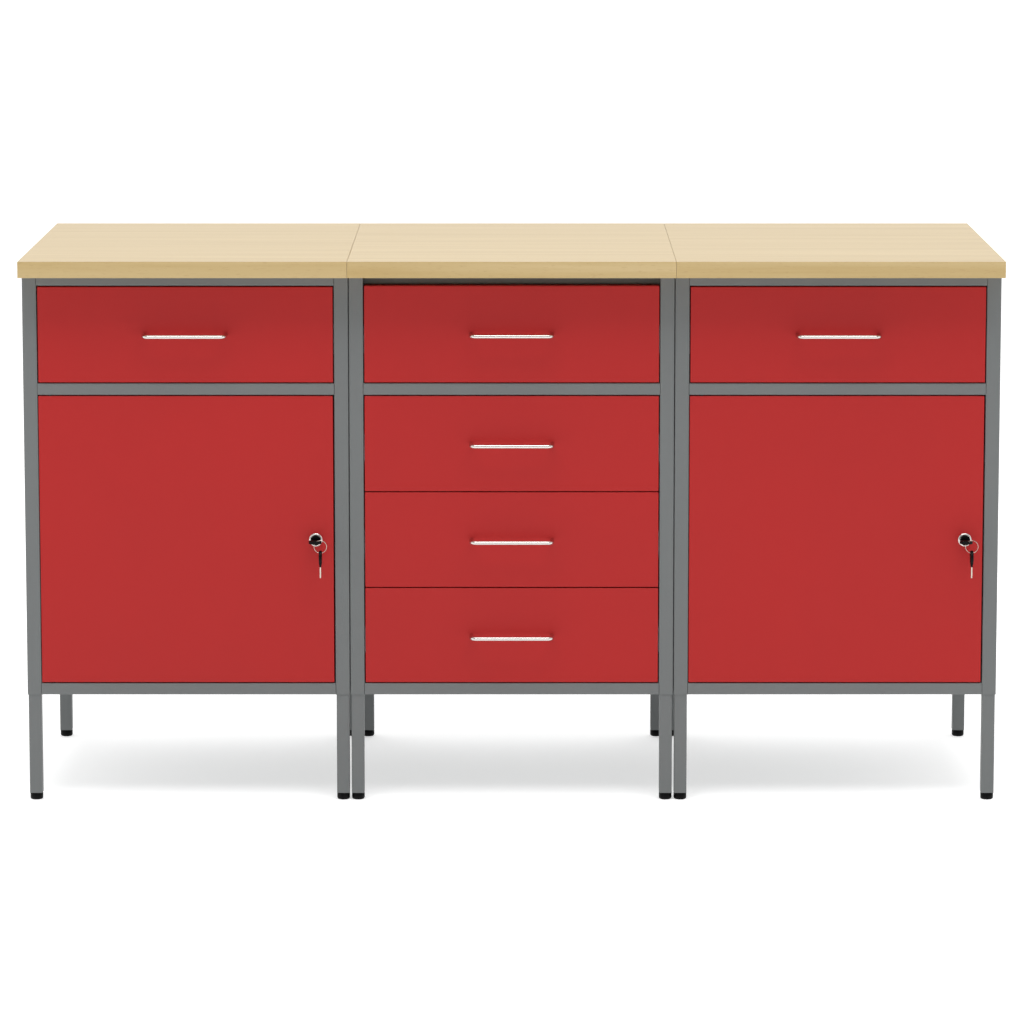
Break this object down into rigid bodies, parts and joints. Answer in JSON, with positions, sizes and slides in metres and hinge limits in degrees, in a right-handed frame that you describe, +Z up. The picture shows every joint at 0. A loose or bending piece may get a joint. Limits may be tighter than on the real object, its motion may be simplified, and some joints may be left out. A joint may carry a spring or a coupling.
{
  "type": "workbench with drawers",
  "caption": "Steel workbench of joined cabinets under wooden boards, with sliding drawers on telescopic slides and lockable hinged cupboard doors, on legs.",
  "frame": {"origin": "on the floor, under the centre of the worktop's outline", "axes": "+X to the right as seen from the drawers' side, +Y to the back, +Z up"},
  "size_m": [1.502, 0.6, 0.848],
  "materials": {
    "beech_top": "sealed pale beech decor board",
    "grey_paint": "satin powder coat, mid grey",
    "red_paint": "satin powder coat, red",
    "tray_paint": "satin powder coat, mid grey",
    "pin_steel": "dark phosphated steel",
    "zinc_steel": "bright zinc-plated steel",
    "handle_chrome": "polished chrome",
    "lock_chrome": "polished chrome",
    "lock_black": "black-plated die casting",
    "key_plastic": "moulded black plastic grip on a nickel-plated blade",
    "ring_steel": "nickel-plated spring wire",
    "black_plastic": "moulded black plastic"
  },
  "bodies": {
    "bench": {"worktop_left": "beech_top", "worktop_middle": "beech_top", "worktop_right": "beech_top", "frame_left": "grey_paint", "frame_middle": "grey_paint", "frame_right": "grey_paint", "legs": "grey_paint", "feet": "black_plastic", "side_panels": "grey_paint", "back_panels": "grey_paint", "floor_panels": "grey_paint", "uprights": "zinc_steel", "slide_channels": "zinc_steel", "shelves": "grey_paint", "shelf_clips": "zinc_steel", "hinge_pins": "pin_steel", "worktop_screws": "zinc_steel", "joining_bolts": "zinc_steel"},
    "left_drawer": {"left_drawer_front": "red_paint", "left_drawer_tray": "tray_paint", "left_drawer_handle": "handle_chrome", "left_drawer_slides": "zinc_steel"},
    "left_drawer_carriers": {"left_drawer_carriers": "zinc_steel"},
    "middle_drawer_1": {"middle_drawer_1_front": "red_paint", "middle_drawer_1_tray": "tray_paint", "middle_drawer_1_handle": "handle_chrome", "middle_drawer_1_slides": "zinc_steel"},
    "middle_drawer_1_carriers": {"middle_drawer_1_carriers": "zinc_steel"},
    "middle_drawer_2": {"middle_drawer_2_front": "red_paint", "middle_drawer_2_tray": "tray_paint", "middle_drawer_2_handle": "handle_chrome", "middle_drawer_2_slides": "zinc_steel"},
    "middle_drawer_2_carriers": {"middle_drawer_2_carriers": "zinc_steel"},
    "middle_drawer_3": {"middle_drawer_3_front": "red_paint", "middle_drawer_3_tray": "tray_paint", "middle_drawer_3_handle": "handle_chrome", "middle_drawer_3_slides": "zinc_steel"},
    "middle_drawer_3_carriers": {"middle_drawer_3_carriers": "zinc_steel"},
    "middle_drawer_4": {"middle_drawer_4_front": "red_paint", "middle_drawer_4_tray": "tray_paint", "middle_drawer_4_handle": "handle_chrome", "middle_drawer_4_slides": "zinc_steel"},
    "middle_drawer_4_carriers": {"middle_drawer_4_carriers": "zinc_steel"},
    "right_drawer": {"right_drawer_front": "red_paint", "right_drawer_tray": "tray_paint", "right_drawer_handle": "handle_chrome", "right_drawer_slides": "zinc_steel"},
    "right_drawer_carriers": {"right_drawer_carriers": "zinc_steel"},
    "left_door": {"left_door": "red_paint", "left_lock_body": "lock_chrome"},
    "left_lock": {"left_lock_barrel": "lock_black", "left_key": "key_plastic"},
    "left_key_ring": {"left_key_ring": "ring_steel"},
    "left_spare_key": {"left_spare_key": "key_plastic"},
    "right_door": {"right_door": "red_paint", "right_lock_body": "lock_chrome"},
    "right_lock": {"right_lock_barrel": "lock_black", "right_key": "key_plastic"},
    "right_key_ring": {"right_key_ring": "ring_steel"},
    "right_spare_key": {"right_spare_key": "key_plastic"}
  },
  "joints": [
    {"name": "left_drawer_slide", "type": "slide", "parent": "bench", "child": "left_drawer", "axis": [0, -1, 0], "range_m": [0, 0.42]},
    {"name": "left_drawer_carrier_slide", "type": "slide", "parent": "bench", "child": "left_drawer_carriers", "axis": [0, -1, 0], "range_m": [0, 0.21]},
    {"name": "middle_drawer_1_slide", "type": "slide", "parent": "bench", "child": "middle_drawer_1", "axis": [0, -1, 0], "range_m": [0, 0.42]},
    {"name": "middle_drawer_1_carrier_slide", "type": "slide", "parent": "bench", "child": "middle_drawer_1_carriers", "axis": [0, -1, 0], "range_m": [0, 0.21]},
    {"name": "middle_drawer_2_slide", "type": "slide", "parent": "bench", "child": "middle_drawer_2", "axis": [0, -1, 0], "range_m": [0, 0.42]},
    {"name": "middle_drawer_2_carrier_slide", "type": "slide", "parent": "bench", "child": "middle_drawer_2_carriers", "axis": [0, -1, 0], "range_m": [0, 0.21]},
    {"name": "middle_drawer_3_slide", "type": "slide", "parent": "bench", "child": "middle_drawer_3", "axis": [0, -1, 0], "range_m": [0, 0.42]},
    {"name": "middle_drawer_3_carrier_slide", "type": "slide", "parent": "bench", "child": "middle_drawer_3_carriers", "axis": [0, -1, 0], "range_m": [0, 0.21]},
    {"name": "middle_drawer_4_slide", "type": "slide", "parent": "bench", "child": "middle_drawer_4", "axis": [0, -1, 0], "range_m": [0, 0.42]},
    {"name": "middle_drawer_4_carrier_slide", "type": "slide", "parent": "bench", "child": "middle_drawer_4_carriers", "axis": [0, -1, 0], "range_m": [0, 0.21]},
    {"name": "right_drawer_slide", "type": "slide", "parent": "bench", "child": "right_drawer", "axis": [0, -1, 0], "range_m": [0, 0.42]},
    {"name": "right_drawer_carrier_slide", "type": "slide", "parent": "bench", "child": "right_drawer_carriers", "axis": [0, -1, 0], "range_m": [0, 0.21]},
    {"name": "left_door_hinge", "type": "hinge", "parent": "bench", "child": "left_door", "pos_m": [-0.7102, -0.2385, 0.4105], "axis": [0, 0, -1], "range_deg": [0, 90]},
    {"name": "left_lock_turn", "type": "hinge", "parent": "left_door", "child": "left_lock", "pos_m": [-0.3025, -0.243, 0.4105], "axis": [0, 1, 0], "range_deg": [0, 90]},
    {"name": "left_ring_hang", "type": "hinge", "parent": "left_lock", "child": "left_key_ring", "pos_m": [-0.2943, -0.2715, 0.4043], "axis": [0, 1, 0], "range_deg": [-90, 0]},
    {"name": "left_spare_key_swing", "type": "hinge", "parent": "left_key_ring", "child": "left_spare_key", "pos_m": [-0.2943, -0.2715, 0.3946], "axis": [1, 0, 0], "range_deg": [-40, 35]},
    {"name": "right_door_hinge", "type": "hinge", "parent": "bench", "child": "right_door", "pos_m": [0.2918, -0.2385, 0.4105], "axis": [0, 0, -1], "range_deg": [0, 90]},
    {"name": "right_lock_turn", "type": "hinge", "parent": "right_door", "child": "right_lock", "pos_m": [0.6995, -0.243, 0.4105], "axis": [0, 1, 0], "range_deg": [0, 90]},
    {"name": "right_ring_hang", "type": "hinge", "parent": "right_lock", "child": "right_key_ring", "pos_m": [0.7077, -0.2715, 0.4043], "axis": [0, 1, 0], "range_deg": [-90, 0]},
    {"name": "right_spare_key_swing", "type": "hinge", "parent": "right_key_ring", "child": "right_spare_key", "pos_m": [0.7077, -0.2715, 0.3946], "axis": [1, 0, 0], "range_deg": [-40, 35]}
  ],
  "couplings": [
    {"joint": "left_drawer_carrier_slide", "follows": "left_drawer_slide", "ratio": 0.5},
    {"joint": "middle_drawer_1_carrier_slide", "follows": "middle_drawer_1_slide", "ratio": 0.5},
    {"joint": "middle_drawer_2_carrier_slide", "follows": "middle_drawer_2_slide", "ratio": 0.5},
    {"joint": "middle_drawer_3_carrier_slide", "follows": "middle_drawer_3_slide", "ratio": 0.5},
    {"joint": "middle_drawer_4_carrier_slide", "follows": "middle_drawer_4_slide", "ratio": 0.5},
    {"joint": "right_drawer_carrier_slide", "follows": "right_drawer_slide", "ratio": 0.5},
    {"joint": "left_ring_hang", "follows": "left_lock_turn", "ratio": -1},
    {"joint": "right_ring_hang", "follows": "right_lock_turn", "ratio": -1}
  ]
}
